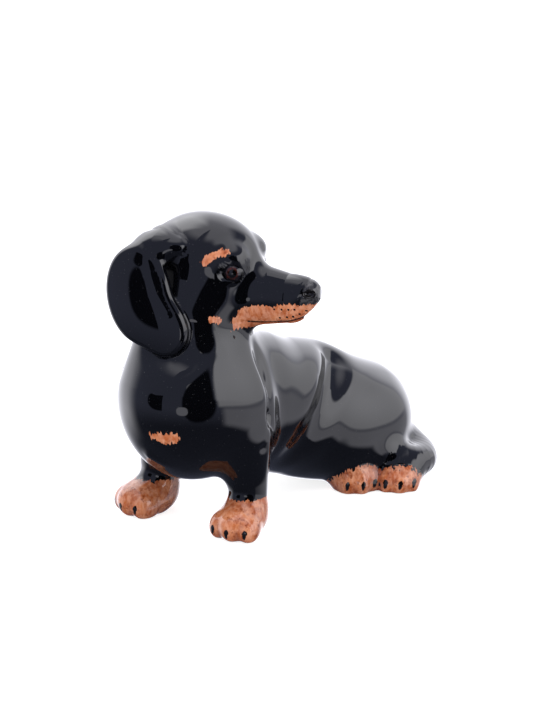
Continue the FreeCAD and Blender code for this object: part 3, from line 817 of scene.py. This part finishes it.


# --- Forelegs -----------------------------------------------------------------------------------
# The forelegs are solid pressings luted under the shoulders. The feet are brushed tan with a ragged
# upper edge, darker red-brown between the toes, and three black comma claws each.
for paw, leg_node in ((LEFT_FORE, "left_foreleg"), (RIGHT_FORE, "right_foreleg")):
    z = np.concatenate([np.linspace(0.02, 20.0, int(110 * FINE)), np.linspace(20.3, 50.0, int(70 * FINE))])
    foot, top = np.array(paw["middle"], float), np.array(paw["knee"][0], float)
    rise = np.clip((z - 2.0) / 14.0, 0.0, 1.0)[:, None]
    middles = foot + (top - foot) * rise
    middles[:, 2] = z
    count = len(z)
    leg = take_mould(leg_node + "_pressing", leg_node, middles, np.tile(AHEAD, (count, 1)),
                     np.tile(ASIDE, (count, 1)), (-UP, UP), int(190 * FINE))
    leg.data.materials.append(black_glaze)


# --- Hind paws ----------------------------------------------------------------------------------
# Both hind feet come out at the dog's left from under the haunch. They are small solid pressings,
# tan all over, with claws as on the front feet.
for paw, paw_node in ((LEFT_HIND, "left_hind_paw"), (RIGHT_HIND, "right_hind_paw")):
    foot = np.array(paw["middle"], float)
    levels = np.sin(np.radians(np.linspace(0.1, 88.0, int(110 * FINE))))
    middles = np.tile(foot, (len(levels), 1))
    middles[:, 2] = (foot[2] + paw["half"][2] - 0.4) * levels
    count = len(levels)
    pressing = take_mould(paw_node + "_pressing", paw_node, middles, np.tile(AHEAD, (count, 1)),
                          np.tile(ASIDE, (count, 1)), (-UP, UP), int(180 * FINE))
    pressing.data.materials.append(tan_glaze)


# --- Tail ---------------------------------------------------------------------------------------
# The tail is a rolled taper laid round the haunch on the left, its tip resting on the hind feet.
middles = eased(TAIL, int(190 * FINE))
along = np.gradient(middles, axis=0)
along = along / np.linalg.norm(along, axis=1)[:, None]
sides = np.cross(along, UP)
sides = sides / np.linalg.norm(sides, axis=1)[:, None]
tail = take_mould("tail_roll", "tail", middles, np.cross(sides, along), sides, (-along[0], along[-1]),
                  int(120 * FINE))
tail.data.materials.append(black_glaze)


# --- Eyes ---------------------------------------------------------------------------------------
# Each eye is a small ball of clay pressed into its socket before the lids are smoothed over it. It
# is painted dark with a red-brown iris round a black pupil, and drowned in clear glaze.
def eye_colour(tree, surface):
    """A black pupil, a red-brown iris with fine rays, and a dark rim."""
    spread = maths(tree, "ADD", mark_value(tree, "iris"), maths(tree, "MULTIPLY", maths(tree, "SUBTRACT",
                   speckle(tree, 1600.0, 2.0), 0.5), 0.5))
    iris = mixed(tree, ramp_between(tree, speckle(tree, 900.0, 3.0), 0.4, 0.7), (0.010, 0.003, 0.002, 1.0),
                 (0.045, 0.008, 0.005, 1.0))
    colour = mixed(tree, ramp_between(tree, spread, 1.7, 2.0), (0.001, 0.001, 0.001, 1.0), iris)
    return mixed(tree, ramp_between(tree, spread, 2.5, 3.2), colour, (0.002, 0.002, 0.003, 1.0))


eye_glaze = glazed("eye_glaze", eye_colour)
for side, eye_node in ((1, "left_eye"), (-1, "right_eye")):
    look = (EYE_LOOK * (1, side, 1)) @ HEAD_AXES.T
    centre = HEAD_AT + (EYE_AT * (1, side, 1)) @ HEAD_AXES.T
    first = np.cross(look, UP)
    first = first / np.linalg.norm(first)
    second = np.cross(look, first)
    rows, around = int(60 * FINE), int(96 * FINE)
    tilt = np.radians(np.linspace(1.5, 178.0, rows))[:, None, None]
    t = (np.arange(around) * 2.0 * math.pi / around)[None, :, None]
    # a ball: cos tilt along the look, and sin tilt round it
    round_look = np.cos(t) * first + np.sin(t) * second
    ball = centre + EYE_RADIUS * (np.cos(tilt) * look + np.sin(tilt) * round_look)
    points = np.vstack([centre + EYE_RADIUS * look, ball.reshape(-1, 3), centre - EYE_RADIUS * look])
    mesh = closed_skin(eye_node + "_ball", points, around)
    rel = points - centre
    off = np.linalg.norm(rel - (rel @ look)[:, None] * look, axis=1)
    store(mesh, "iris", np.where(rel @ look > 0, off, 9.0))
    eye = bpy.data.objects.new(eye_node + "_ball", mesh)
    bpy.context.scene.collection.objects.link(eye)
    eye.data.materials.append(eye_glaze)
    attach(eye, "root")
    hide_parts(eye_node)
